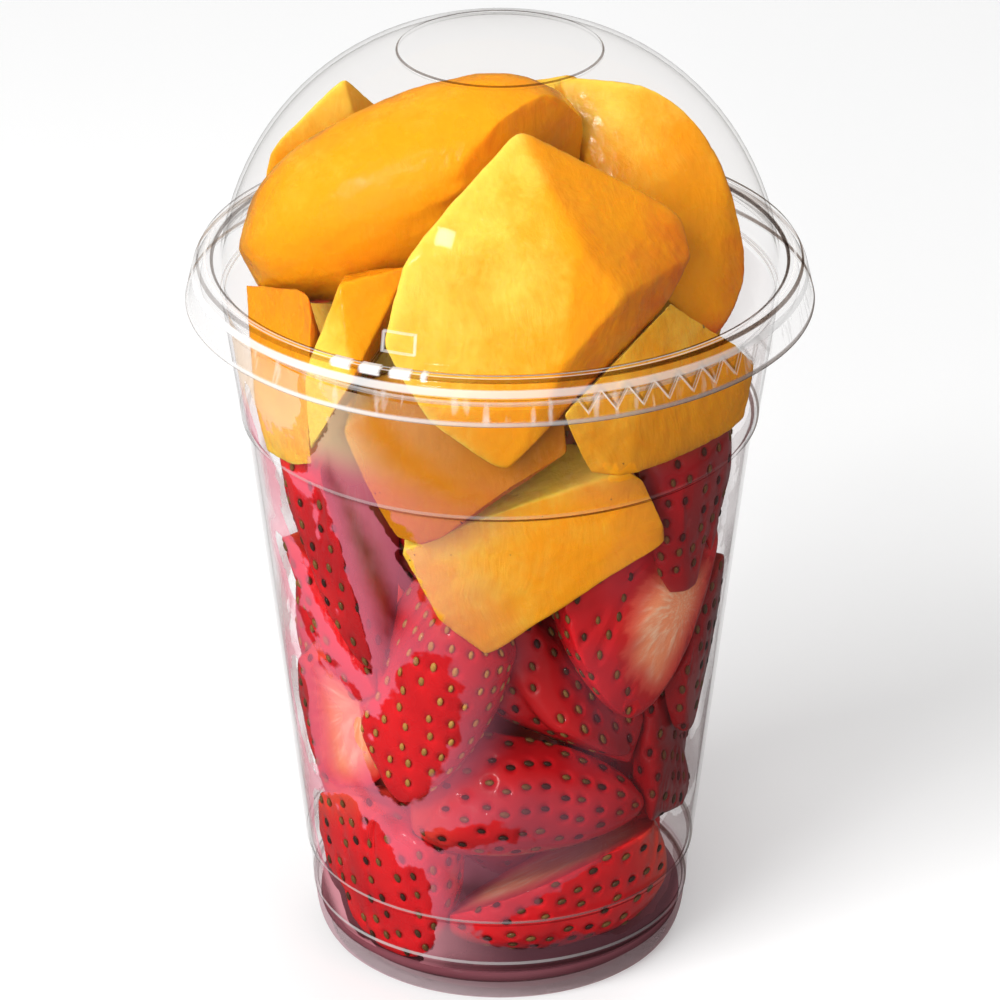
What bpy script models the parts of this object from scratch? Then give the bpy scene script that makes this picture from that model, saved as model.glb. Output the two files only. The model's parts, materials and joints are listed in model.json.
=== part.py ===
"""Fruit cup: a clear tumbler with a domed lid, filled with mango chunks over cut strawberries.

Metres, +Z up. The origin is the centre of the circle that the tumbler stands on, and -Y is the
front. Lengths below are in millimetres and turned to metres where a mesh is made.
"""

import math

import bmesh
import bpy
import numpy as np
from mathutils import Euler, Vector

MM = 0.001
GAP = 0.4  # clear space kept between any two pieces
SIDES = 44  # flats around a turned piece
TINY = 1e-6

# Tumbler, outer face, as (radius, height)
STAND_IN, STAND_OUT = 26.4, 29.2  # the flat ring it stands on
STAND_CHAMFER = 1.2
FLOOR_UNDER, FLOOR_TOP = 1.2, 1.9
HEEL_RADIUS, HEEL_TOP = 31.6, 7.0
FOOT_BAND_LOW, FOOT_BAND_HIGH = (31.9, 7.6), (32.4, 15.7)
WALL_LOW, WALL_HIGH = (32.9, 16.3), (41.5, 94.9)
SHOULDER_LOW, SHOULDER_HIGH = (42.4, 95.8), (45.0, 116.0)
CURL_CENTRE, CURL_RADIUS = (46.6, 119.6), 1.9
MOUTH_FLARE, MOUTH_TOP = 0.3, 120.5
CUP_WALL = 0.6
HEEL_INSIDE = [(29.9, 4.2), (27.6, 2.3), (25.4, FLOOR_TOP)]

# Lid, outer face
DOME_BASE = (45.4, 122.8)
DOME_FULLNESS = 2.2  # 2 would be an ellipse
DOME_FOOT, DOME_CROWN = 112.0, 161.2  # heights where the dome's curve would stand upright and close
DOME_STEPS = 7
DISC_RADIUS, DISC_TOP, DISC_STEP = 16.5, 158.8, 0.5
BEAD_IN, BEAD_OUT, BEAD_TOP = 47.0, 48.7, 123.4
SKIRT_TOP, SKIRT_STEP, SKIRT_EDGE = (49.4, 122.2), (49.8, 121.2), (51.0, 116.2)
LID_WALL = 0.5

# Contents
JUICE_TOP, JUICE_RADIUS = 4.8, 29.2
FRUIT_FLOOR = 5.3
LEAST_CORNER = 0.25  # corners nearer than this become one
LEAST_FACE = 4.0  # square millimetres; smaller faces are not tried as parting planes
SPREAD = 260  # directions tried as parting planes

# A strawberry's outline: stations along it, its widest station, and how fast it narrows both ways
BERRY_STATIONS = (0.0, 0.12, 0.28, 0.46, 0.64, 0.8, 0.92)
BERRY_WIDEST = 0.28
BERRY_SHOULDER_DEPTH = 0.40
BERRY_TIP_POWER, BERRY_TIP_ROUND = 1.9, 0.72
BERRY_SIDES = 10


def arc(centre, radius, start, end, steps):
    """Points along an arc in the radius-height plane, angles in degrees from +radius to +height."""
    points = []
    for k in range(steps + 1):
        angle = math.radians(start + (end - start) * k / steps)
        points.append((centre[0] + radius * math.cos(angle), centre[1] + radius * math.sin(angle)))
    return points


def dome_reach(height):
    """The dome's curve, as its radius over the full one at its foot."""
    rise = (height - DOME_FOOT) / (DOME_CROWN - DOME_FOOT)
    return (1 - rise ** DOME_FULLNESS) ** (1 / DOME_FULLNESS)


def dome_points(shrink):
    """The dome from its base up to the rim of its flat top, drawn in by shrink."""
    base_radius, base = DOME_BASE
    rim = DISC_TOP - DISC_STEP - 0.3
    points = []
    for k in range(DOME_STEPS + 1):
        height = base + (rim - base) * math.sin(0.5 * math.pi * k / DOME_STEPS)
        radius = base_radius * dome_reach(height) / dome_reach(base)
        points.append((radius - shrink, height - shrink * (height - base) / (rim - base)))
    return points


def material(name, colour, roughness, alpha=1.0):
    made = bpy.data.materials.new(name)
    made.use_nodes = True
    shader = made.node_tree.nodes["Principled BSDF"]
    shader.inputs["Base Color"].default_value = (*colour, 1.0)
    shader.inputs["Roughness"].default_value = roughness
    shader.inputs["Metallic"].default_value = 0.0
    shader.inputs["Alpha"].default_value = alpha
    return made


def add_object(name, shape, finish):
    """Makes an object of a bmesh in millimetres."""
    bmesh.ops.scale(shape, vec=(MM, MM, MM), verts=shape.verts)
    mesh = bpy.data.meshes.new(name)
    shape.to_mesh(mesh)
    shape.free()
    mesh.materials.append(finish)
    made = bpy.data.objects.new(name, mesh)
    bpy.context.scene.collection.objects.link(made)
    return made


def turned(name, outline, finish):
    """Spins an outline that starts and ends on the axis into a closed solid."""
    shape = bmesh.new()
    verts = [shape.verts.new((radius, 0, height)) for radius, height in outline]
    edges = [shape.edges.new(pair) for pair in zip(verts[:-1], verts[1:])]
    bmesh.ops.spin(shape, geom=verts + edges, cent=(0, 0, 0), axis=(0, 0, 1), angle=math.tau,
                   steps=SIDES, use_merge=True)
    bmesh.ops.remove_doubles(shape, verts=shape.verts, dist=TINY / MM)
    bmesh.ops.recalc_face_normals(shape, faces=shape.faces)
    made = add_object(name, shape, finish)
    made.data.shade_smooth()
    made.data.set_sharp_from_angle(angle=math.radians(35))


# ---------------------------------------------------------------- the tumbler and its lid


def cup_outer():
    """From under the floor, round the heel and up the wall, to the top of the rolled rim."""
    heel = []
    for turn in (0, 30, 60, 90):
        angle = math.radians(turn)
        out = (HEEL_RADIUS - STAND_OUT) * math.sin(angle)
        heel.append((STAND_OUT + out, HEEL_TOP * (1 - math.cos(angle))))
    curl = arc(CURL_CENTRE, CURL_RADIUS, -130, 90, 5)
    return ([(0, FLOOR_UNDER), (STAND_IN - STAND_CHAMFER, FLOOR_UNDER), (STAND_IN, 0)] + heel
            + [FOOT_BAND_LOW, FOOT_BAND_HIGH, WALL_LOW, WALL_HIGH, SHOULDER_LOW, SHOULDER_HIGH]
            + curl)


def cup_inner():
    """From the mouth down the inside of the wall to the middle of the floor."""
    wall = [SHOULDER_HIGH, SHOULDER_LOW, WALL_HIGH, WALL_LOW, FOOT_BAND_HIGH, FOOT_BAND_LOW,
            (HEEL_RADIUS, HEEL_TOP)]
    mouth = [(SHOULDER_HIGH[0] - CUP_WALL + MOUTH_FLARE, MOUTH_TOP)]
    inside = [(radius - CUP_WALL, height) for radius, height in wall]
    return mouth + inside + HEEL_INSIDE + [(0, FLOOR_TOP)]


def lid_outline():
    """From the middle of the flat top down the outside to the skirt's edge, and back up inside."""
    wall = LID_WALL
    base_radius, base = DOME_BASE
    top = [(0, DISC_TOP), (DISC_RADIUS - 0.7, DISC_TOP), (DISC_RADIUS, DISC_TOP - DISC_STEP)]
    flange = [(BEAD_IN - 0.5, base), (BEAD_IN, BEAD_TOP), (BEAD_OUT, BEAD_TOP), SKIRT_TOP,
              SKIRT_STEP, SKIRT_EDGE]
    under = [(SKIRT_EDGE[0] - wall, SKIRT_EDGE[1]), (SKIRT_STEP[0] - wall, SKIRT_STEP[1]),
             (SKIRT_TOP[0] - wall, SKIRT_TOP[1] - 0.2), (BEAD_OUT - 0.3, BEAD_TOP - wall),
             (BEAD_IN + 0.2, BEAD_TOP - wall), (BEAD_IN - 0.3, base - wall),
             (base_radius - wall, base - wall)]
    ceiling = [(DISC_RADIUS - wall, DISC_TOP - DISC_STEP - wall),
               (DISC_RADIUS - 0.7 - wall, DISC_TOP - wall), (0, DISC_TOP - wall)]
    return top + dome_points(0)[::-1] + flange + under + dome_points(wall)[1:] + ceiling


def juice_outline():
    """The thin pool that has run down to the floor, clear of the heel's inner curve."""
    floor = FLOOR_TOP + GAP
    return [(0, JUICE_TOP), (JUICE_RADIUS, JUICE_TOP), (JUICE_RADIUS - 0.2, JUICE_TOP - 0.5),
            (27.0, 2.7), (25.0, floor), (0, floor)]


def room(height):
    """How far from the axis fruit may reach at a height, above the step in the tumbler's wall."""
    inner = cup_inner()[-2:0:-1] + dome_points(LID_WALL)
    for (r0, z0), (r1, z1) in zip(inner[:-1], inner[1:]):
        if z0 <= height <= z1:
            return r0 + (r1 - r0) * (height - z0) / (z1 - z0) - GAP
    return DISC_RADIUS - LID_WALL - GAP


def straight_room(height):
    """The same for fruit that stands below the step: one straight line that clears both steps."""
    slope = (WALL_HIGH[0] - WALL_LOW[0]) / (WALL_HIGH[1] - WALL_LOW[1])
    line = FOOT_BAND_HIGH[0] - CUP_WALL - GAP + slope * (height - FOOT_BAND_HIGH[1])
    return min(line, room(max(height, FRUIT_FLOOR)))


# ---------------------------------------------------------------- fruit, as convex sets of corners


def hull_shape(points):
    """A bmesh of the convex hull of some points."""
    shape = bmesh.new()
    for point in points:
        shape.verts.new(point)
    bmesh.ops.remove_doubles(shape, verts=shape.verts, dist=LEAST_CORNER)
    found = bmesh.ops.convex_hull(shape, input=shape.verts, use_existing_faces=False)
    inside = [v for v in found["geom_interior"] if isinstance(v, bmesh.types.BMVert)]
    bmesh.ops.delete(shape, geom=inside, context="VERTS")
    bmesh.ops.recalc_face_normals(shape, faces=shape.faces)
    if shape.calc_volume(signed=True) < 0:
        bmesh.ops.reverse_faces(shape, faces=shape.faces)
    return shape


def corners_of(shape):
    found = [v.co.copy() for v in shape.verts]
    shape.free()
    return found


def sliced(points, normal, offset):
    """The part of a convex piece where normal . point >= offset."""
    if min(normal.dot(p) for p in points) >= offset:
        return points
    shape = hull_shape(points)
    bmesh.ops.bisect_plane(shape, geom=shape.verts[:] + shape.edges[:] + shape.faces[:],
                           dist=TINY, plane_co=normal * offset, plane_no=normal, clear_inner=True)
    return corners_of(hull_shape(corners_of(shape)))


def knife_cut(points, centre, direction, distance):
    """Takes off what lies further than distance from the centre in a direction."""
    return sliced(points, -direction, -(direction.dot(centre) + distance))


def fitted_inside(points):
    """Pulls each corner in to the wall, the floor and the dome, where fruit presses flat."""
    fitted = []
    wall = room if min(p.z for p in points) > SHOULDER_LOW[1] else straight_room
    for point in points:
        height = min(max(point.z, FRUIT_FLOOR), DISC_TOP - LID_WALL - GAP)
        reach = max(math.hypot(point.x, point.y), TINY)
        scale = min(1.0, wall(height) / reach)
        fitted.append(Vector((point.x * scale, point.y * scale, height)))
    return corners_of(hull_shape(fitted))


def face_normals(points):
    shape = hull_shape(points)
    normals = [f.normal.copy() for f in shape.faces if f.calc_area() > LEAST_FACE]
    shape.free()
    return normals


def even_directions(count):
    """Directions spread evenly over a sphere."""
    golden = math.pi * (3 - math.sqrt(5))
    found = []
    for k in range(count):
        z = 1 - 2 * (k + 0.5) / count
        ring = math.sqrt(1 - z * z)
        found.append(Vector((ring * math.cos(golden * k), ring * math.sin(golden * k), z)))
    return found


def parting_plane(front, back, directions):
    """The plane on the front piece that takes the least off the back piece, as (loss, normal, offset)."""
    normals = np.array(directions)
    offsets = (normals @ np.array(front).T).max(axis=1) + GAP
    crossed = offsets[:, None] - normals @ np.array(back).T
    losses = np.maximum(crossed, 0.0).sum(axis=1)
    best = int(losses.argmin())
    return losses[best], directions[best], float(offsets[best])


def settled(pieces):
    """Presses each later piece flat where it would run into an earlier one."""
    directions = even_directions(SPREAD)
    names = list(pieces)
    shapes = {name: fitted_inside(pieces[name]) for name in names}
    for i, front in enumerate(names):
        own = face_normals(shapes[front])
        for back in names[i + 1:]:
            others = [-n for n in face_normals(shapes[back])]
            loss, normal, offset = parting_plane(shapes[front], shapes[back], directions + own + others)
            if loss > 0:
                shapes[back] = sliced(shapes[back], normal, offset)
    return shapes


def berry(shoulder, tip, width, thickness, *cuts):
    """A strawberry from its shoulder, where the leaves were, to its tip, less what the knife took.

    Each cut is the direction that the cut face looks in, and how far from the berry's axis it lies."""
    shoulder, tip = Vector(shoulder), Vector(tip)
    along = (tip - shoulder).normalized()
    first = Vector(cuts[0][0]) if cuts else Vector((0, -1, 0.3))
    out = (first - along * first.dot(along)).normalized()
    side = along.cross(out)
    points = [tip]
    for row, s in enumerate(BERRY_STATIONS):
        if s < BERRY_WIDEST:
            reach = math.sqrt(1 - ((BERRY_WIDEST - s) / BERRY_SHOULDER_DEPTH) ** 2)
        else:
            narrowing = ((s - BERRY_WIDEST) / (1 - BERRY_WIDEST)) ** BERRY_TIP_POWER
            reach = (1 - narrowing) ** BERRY_TIP_ROUND
        for k in range(BERRY_SIDES):
            angle = math.tau * (k + 0.5 * (row > 1)) / BERRY_SIDES
            points.append(shoulder.lerp(tip, s) + side * math.cos(angle) * reach * width / 2
                          + out * math.sin(angle) * reach * thickness / 2)
    for direction, distance in cuts:
        normal = Vector(direction)
        normal = (normal - along * normal.dot(along)).normalized()
        points = knife_cut(points, shoulder, normal, distance)
    return points


def chunk(*corners):
    """A knife-cut chunk of mango from its corners."""
    return [Vector(c) for c in corners]


def cheek(centre, long_way, up_way, lengths, *cuts):
    """A peeled cheek of mango: a full oval with flat cuts."""
    centre = Vector(centre)
    along = Vector(long_way).normalized()
    up = Vector(up_way)
    up = (up - along * up.dot(along)).normalized()
    across = along.cross(up)
    points = []
    for direction in even_directions(64):
        full = [math.copysign(abs(c) ** 0.85, c) for c in direction]
        points.append(centre + along * full[0] * lengths[0] / 2 + up * full[1] * lengths[1] / 2
                      + across * full[2] * lengths[2] / 2)
    for direction, distance in cuts:
        points = knife_cut(points, centre, Vector(direction).normalized(), distance)
    return points


def block(centre, lengths, turn, taper=0.8):
    """A plain block of mango that narrows upwards and leans a little, turned about x, y and z."""
    rotation = Euler([math.radians(a) for a in turn]).to_matrix()
    points = []
    for x in (-0.5, 0.5):
        for y in (-0.5, 0.5):
            for z in (-0.5, 0.5):
                narrow = taper if z > 0 else 1.0
                lean = 0.12 * x
                corner = Vector((x * lengths[0] * narrow, y * lengths[1] * narrow, (z + lean) * lengths[2]))
                points.append(Vector(centre) + rotation @ corner)
    return points


# Both lists run from the front and the top, because each piece rests against the ones before it.


def mango_pieces():
    return {
        "mango_01_kite": chunk((3, -20, 152), (-14.5, -33, 136.5), (-18, -38, 124), (-11, -41, 112.5),
                               (0.5, -41, 104), (7, -40, 110.5), (9.6, -40.5, 121.6), (19.4, -34, 130.5),
                               (19.3, -33, 122.5), (26.4, -25, 125.5), (30, -20, 131), (28.4, -17, 137),
                               (12, -33, 138.5), (4, -11, 146), (-12, -25, 126), (20, -20, 124)),
        "mango_02_cheek": cheek((-14.5, -6, 137), (54, 4, 22), (0, -0.5, 1), (60, 30, 27),
                                ((0, 1, -0.2), 9), ((0.85, -0.1, -0.4), 26)),
        "mango_03_right_top": chunk((8, 6, 150), (22.5, 4, 151), (29.3, 4, 145.8), (34.1, 2, 141),
                                    (37, 0, 135), (39.3, -3, 124.8), (39, -8, 118), (34, -16, 115),
                                    (25.5, -16, 123), (14, -6, 130), (18, 20, 138), (32, 17, 124),
                                    (12, 16, 130), (24, 14, 114)),
        "mango_04_peak": chunk((-25.5, 8, 149.6), (-37, 5, 139), (-39, 6, 126), (-21, 12, 143),
                               (-24, 24, 134), (-34, 18, 122), (-14, 20, 133), (-18, 8, 122)),
        "mango_05_block": chunk((-24.6, -33, 106.5), (-19.8, -35.5, 95), (-16.5, -37, 90), (-11.6, -38, 89),
                                (2, -38, 100.5), (10.6, -36, 104.5), (9.5, -33, 112), (-8, -22, 116),
                                (8, -18, 108), (-16, -18, 96), (-22, -18, 106), (-22, -28, 113),
                                (-10, -30, 118)),
        "mango_06_column": chunk((-25, -28, 130), (-14, -24, 131), (-13, -18, 128), (-24, -14, 126),
                                 (-31, -32, 116), (-31, -31, 102), (-23, -36, 117), (-27, -34, 101),
                                 (-24, -18, 104), (-13, -16, 118)),
        "mango_07_left": chunk((-41, -8, 126), (-40, -14, 106), (-39.5, -15, 102), (-37.9, -18, 96),
                               (-34, -25, 97), (-27, -33, 101), (-28, -34, 113), (-30, -26, 127),
                               (-36, 2, 122), (-34, 2, 102), (-24, -14, 100)),
        "mango_08_low_block": chunk((-16.5, -37, 89), (-10.4, -38, 75.5), (-2, -34.5, 67.8), (26.6, -29, 85.5),
                                    (26, -29, 88), (22.3, -30, 97), (19.9, -31, 99), (11, -20, 99),
                                    (-12, -22, 92), (20, -12, 86), (-4, -20, 74)),
        "mango_09_right": chunk((10, -40, 113), (14.2, -38, 102), (19.8, -37, 101), (23.8, -34, 100.5),
                                (35.3, -22, 100), (39, -16, 101), (41, -12, 110), (38, -14, 116),
                                (26, -25.5, 126), (20, -32, 122), (14, -28, 121), (24, -6, 104),
                                (22, -18, 100)),
        "mango_10_back": block((-24, 22, 108), (24, 26, 30), (10, -12, 35)),
        "mango_11_back": block((4, 32, 110), (34, 20, 28), (-8, 14, 5), 0.75),
        "mango_12_back": block((30, 16, 102), (22, 28, 26), (0, 12, -20), 0.75),
        "mango_13_back_top": block((2, 25, 128), (38, 24, 22), (24, -4, 4), 0.6),
        "mango_14_middle": block((0, -2, 112), (30, 26, 30), (8, 10, 20)),
    }


def strawberry_pieces():
    return {
        "strawberry_01": berry((-26, -19, 101), (-19.5, -30, 62), 28, 24, ((0.84, -0.48, 0.25), 0)),
        "strawberry_02": berry((-8, -22, 75), (-16, -29, 37), 27, 26, ((0.3, 1, 0), 2)),
        "strawberry_03": berry((23, -16, 84), (22, -28, 52), 32, 27, ((0.45, -0.85, 0.1), 3)),
        "strawberry_04": berry((-14, -23, 38), (24, -21, 33), 22, 24, ((0, 1, 0.3), 3)),
        "strawberry_05": berry((-23, -17, 33), (-14, -26, 4), 30, 26, ((0.2, 1, 0), 3)),
        "strawberry_06": berry((26, -14, 23), (-9, -27, 12), 26, 26, ((-0.3, 0.3, 1), 2)),
        "strawberry_07": berry((-31, -14, 80), (-20, -27, 54), 26, 22, ((-0.4, 0.6, -0.6), 4)),
        "strawberry_08": berry((-25, -20, 58), (-26, -16, 32), 24, 24, ((-0.3, -0.6, -0.7), 0)),
        "strawberry_09": berry((26, -12, 99), (30, -18, 70), 25, 26, ((-0.3, 1, 0), 3)),
        "strawberry_10": berry((4, -14, 72), (18, -22, 36), 32, 26, ((0, 1, 0), 3)),
        "strawberry_11": berry((31, -4, 70), (31, -14, 42), 22, 22, ((-1, 0.3, 0), 2)),
        "strawberry_12": berry((30, -4, 50), (25, -18, 22), 24, 22, ((-1, 0.3, 0), 3)),
        "strawberry_13": berry((-24, 4, 32), (-10, 22, 8), 28, 24, ((0.6, -0.4, 0.4), 3)),
        "strawberry_14": berry((22, 8, 34), (4, 22, 8), 28, 26, ((-0.5, -0.6, 0.4), 3)),
        "strawberry_15": berry((-2, -4, 36), (2, 2, 6), 26, 24),
        "strawberry_16": berry((-24, 14, 62), (-26, 8, 34), 27, 24, ((0.9, -0.4, 0), 3)),
        "strawberry_17": berry((-4, 26, 36), (2, 28, 66), 28, 24, ((0, -1, 0), 4)),
        "strawberry_18": berry((24, 18, 64), (20, 20, 34), 28, 24, ((-0.6, -0.7, 0), 3)),
        "strawberry_19": berry((-4, 2, 66), (2, 4, 36), 26, 26),
        "strawberry_20": berry((-27, 14, 93), (-22, 20, 64), 28, 24, ((0.7, -0.7, 0), 3)),
        "strawberry_21": berry((0, 32, 94), (-4, 28, 64), 30, 24, ((0.1, 1, 0.2), 1)),
        "strawberry_22": berry((28, 20, 66), (24, 22, 94), 28, 24, ((-0.5, -0.8, 0), 3)),
        "strawberry_23": berry((-2, 4, 98), (4, 2, 66), 28, 26),
        "strawberry_24": berry((-14, -6, 92), (-12, -2, 60), 22, 24),
        "strawberry_25": berry((20, -2, 42), (24, -2, 12), 22, 22),
        "strawberry_26": berry((-14, 14, 60), (-13, 17, 34), 20, 20),
    }


def main():
    for old in list(bpy.data.objects):
        bpy.data.objects.remove(old, do_unlink=True)
    clear = material("clear_plastic", (0.93, 0.94, 0.95), 0.05, alpha=0.25)
    mango = material("mango_flesh", (0.95, 0.42, 0.03), 0.35)
    strawberry = material("strawberry_skin", (0.6, 0.02, 0.03), 0.3)
    red_juice = material("strawberry_juice", (0.35, 0.03, 0.05), 0.05, alpha=0.7)

    turned("cup", cup_outer() + cup_inner(), clear)
    turned("dome_lid", lid_outline(), clear)
    turned("juice", juice_outline(), red_juice)
    pieces = {**mango_pieces(), **strawberry_pieces()}
    for name, corners in settled(pieces).items():
        add_object(name, hull_shape(corners), mango if name.startswith("mango") else strawberry)


main()
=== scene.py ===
"""Fruit cup: the looks of the clear tumbler, its dome lid, the mist and juice in it, and the fruit.

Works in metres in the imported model's frame; lengths written in millimetres are times MM."""

import json
import math
import random

import bmesh
import bpy
import numpy as np
from mathutils import Matrix, Vector, noise
from mathutils.bvhtree import BVHTree
from mathutils.kdtree import KDTree

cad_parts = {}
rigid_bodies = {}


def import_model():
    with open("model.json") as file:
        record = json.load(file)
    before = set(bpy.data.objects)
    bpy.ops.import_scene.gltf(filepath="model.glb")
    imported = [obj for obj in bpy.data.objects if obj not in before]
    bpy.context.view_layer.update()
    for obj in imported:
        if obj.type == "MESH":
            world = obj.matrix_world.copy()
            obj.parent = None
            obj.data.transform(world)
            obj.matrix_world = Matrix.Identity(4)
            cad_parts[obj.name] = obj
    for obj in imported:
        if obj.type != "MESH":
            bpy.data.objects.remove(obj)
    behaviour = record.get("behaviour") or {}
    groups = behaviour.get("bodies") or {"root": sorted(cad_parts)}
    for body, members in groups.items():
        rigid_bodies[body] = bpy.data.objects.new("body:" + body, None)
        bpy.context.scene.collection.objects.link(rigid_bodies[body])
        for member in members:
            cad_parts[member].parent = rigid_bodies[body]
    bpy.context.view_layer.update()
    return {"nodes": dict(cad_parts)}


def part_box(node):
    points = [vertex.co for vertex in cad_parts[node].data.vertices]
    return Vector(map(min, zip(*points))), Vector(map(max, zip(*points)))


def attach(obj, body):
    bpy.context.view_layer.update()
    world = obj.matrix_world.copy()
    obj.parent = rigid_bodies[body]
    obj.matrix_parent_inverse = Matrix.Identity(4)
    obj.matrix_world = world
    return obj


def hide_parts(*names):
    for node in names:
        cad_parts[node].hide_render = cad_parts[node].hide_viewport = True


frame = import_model()
MM = 0.001
DICE = random.Random(4)

# ---------------------------------------------------------------- materials


class Value:
    """A socket of a material being made. Python's operators on it add Math nodes."""

    def __init__(self, finish, socket):
        self.finish = finish
        self.socket = socket

    def __add__(self, other):
        return self.finish.math("ADD", self, other)

    def __sub__(self, other):
        return self.finish.math("SUBTRACT", self, other)

    def __rsub__(self, other):
        return self.finish.math("SUBTRACT", other, self)

    def __mul__(self, other):
        return self.finish.math("MULTIPLY", self, other)

    def __truediv__(self, other):
        return self.finish.math("DIVIDE", self, other)

    def __pow__(self, other):
        return self.finish.math("POWER", self, other)

    __radd__ = __add__
    __rmul__ = __mul__


class Finish:
    """One material and the nodes in it."""

    def __init__(self, name):
        self.material = bpy.data.materials.new(name)
        self.material.use_nodes = True
        self.tree = self.material.node_tree
        self.tree.nodes.clear()

    def node(self, kind, settings=None, sockets=None, out=0):
        """Adds a node: its settings first, then its sockets' values or links."""
        made = self.tree.nodes.new("ShaderNode" + kind)
        for key, value in (settings or {}).items():
            if key == "stops":
                for k, (place, colour) in enumerate(value):
                    stop = made.color_ramp.elements[k] if k < 2 else made.color_ramp.elements.new(place)
                    stop.position = place
                    stop.color = (*colour, 1.0)
            else:
                setattr(made, key, value)
        for key, value in (sockets or {}).items():
            if isinstance(value, Value):
                self.tree.links.new(value.socket, made.inputs[key])
            elif isinstance(value, tuple) and made.inputs[key].type == "RGBA":
                made.inputs[key].default_value = (*value, 1.0)
            else:
                made.inputs[key].default_value = value
        return Value(self, made.outputs[out])

    def math(self, operation, *values):
        return self.node("Math", {"operation": operation}, dict(enumerate(values)))

    def smooth(self, value, low, high):
        """0 below low, 1 above high and a soft step between; high may be the lower one."""
        return self.node("MapRange", {"interpolation_type": "SMOOTHSTEP"},
                         {"Value": value, "From Min": low, "From Max": high})

    def mix(self, factor, first, second, blend="MIX"):
        return self.node("Mix", {"data_type": "RGBA", "blend_type": blend},
                         {0: factor, 6: first, 7: second}, out=2)

    def place(self):
        return self.node("TexCoord", out="Object")

    def axes(self, vector):
        return [self.node("SeparateXYZ", None, {0: vector}, out=k) for k in range(3)]

    def stretched(self, vector, scale, turn=(0.0, 0.0, 0.0)):
        return self.node("Mapping", None, {"Vector": vector, "Scale": scale, "Rotation": turn})

    def noise(self, vector, scale, detail=2.0, roughness=0.5, out="Fac"):
        return self.node("TexNoise", None, {"Vector": vector, "Scale": scale, "Detail": detail,
                                            "Roughness": roughness}, out=out)

    def attribute(self, name, out="Fac"):
        return self.node("Attribute", {"attribute_name": name}, out=out)

    def bump(self, height, strength, distance, under=None):
        sockets = {"Height": height, "Strength": strength, "Distance": distance}
        if under:
            sockets["Normal"] = under
        return self.node("Bump", None, sockets)

    def shader(self, kind, **sockets):
        return self.node(kind, None, {key.replace("_", " "): value for key, value in sockets.items()})

    def blend(self, factor, first, second):
        return self.node("MixShader", None, {0: factor, 1: first, 2: second})

    def done(self, surface):
        self.node_out = self.tree.nodes.new("ShaderNodeOutputMaterial")
        self.tree.links.new(surface.socket, self.node_out.inputs["Surface"])
        return self.material


def grazing(finish, power):
    """0 where a surface faces the eye and 1 where it turns away."""
    facing = finish.node("LayerWeight", None, {"Blend": 0.5}, out="Facing")
    return facing ** power


def line_mask(m, value, centre, half):
    """1 within half a width of a place along value, with soft sides."""
    return m.smooth(m.math("ABSOLUTE", value - centre), half * 1.25, half * 0.7)


def clear_plastic(name, tint, shade, painted_dark_lines, painted_light_lines, painted_marks=None, foot=None):
    """Thin clear plastic: lets light through, mirrors more and looks greyer where it is seen edge on.

    Each line is (radius or None, height, half width, strength at the left, strength at the right) in
    millimetres; it runs round the piece where the plastic bends. The lines are painted: the dark lines are
    painted shade and dark refractions, and the light lines are painted highlights and reflections. Each is
    painted stronger at the left or at the right, as the light falls. The marks function adds more of both.
    """
    m = Finish(name)
    x, y, z = [part / MM for part in m.axes(m.place())]
    radius = m.math("SQRT", x * x + y * y)
    side = m.smooth(x, -34.0, 34.0)
    wave = m.noise(m.place(), 45.0, 2.0)

    def gathered(painted_lines):
        total = None
        for where, height, half, left, right in painted_lines:
            mask = line_mask(m, z, height, half) if where is None else (
                line_mask(m, radius, where, half) * line_mask(m, z, height, 0.7))
            mask = mask * (side * (right - left) + left) * (wave * 0.7 + 0.65)
            total = mask if total is None else m.math("MAXIMUM", total, mask)
        return m.math("MINIMUM", total, 1.0)

    painted_dark, painted_light = gathered(painted_dark_lines), gathered(painted_light_lines)
    if painted_marks:
        more_painted_dark, more_painted_light = painted_marks(m, m.math("ARCTAN2", x, y * -1.0), radius, z)
        painted_dark = m.math("MAXIMUM", painted_dark, more_painted_dark)
        painted_light = m.math("MAXIMUM", painted_light, more_painted_light)
    through = m.blend(grazing(m, 14.0), m.shader("BsdfTransparent", Color=tint),
                      m.shader("BsdfTransparent", Color=shade))
    if foot:
        through = m.blend(m.smooth(z, 10.0, 6.5), through, m.shader("BsdfTransparent", Color=foot))
    # Painted shade: the dark lines turn the plastic a dark brown see-through colour where they run.
    through = m.blend(painted_dark, through, m.shader("BsdfTransparent", Color=(0.16, 0.105, 0.075)))
    gloss = m.shader("BsdfGlossy", Color=(1.0, 1.0, 1.0), Roughness=0.04)
    # Painted highlights and reflections: the light lines turn the plastic into this white diffuse.
    pale = m.shader("BsdfDiffuse", Color=(0.93, 0.92, 0.91))
    body = m.blend(grazing(m, 5.0) * 0.06 + 0.010, through, gloss)
    return m.done(m.blend(painted_light, body, pale))


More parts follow.
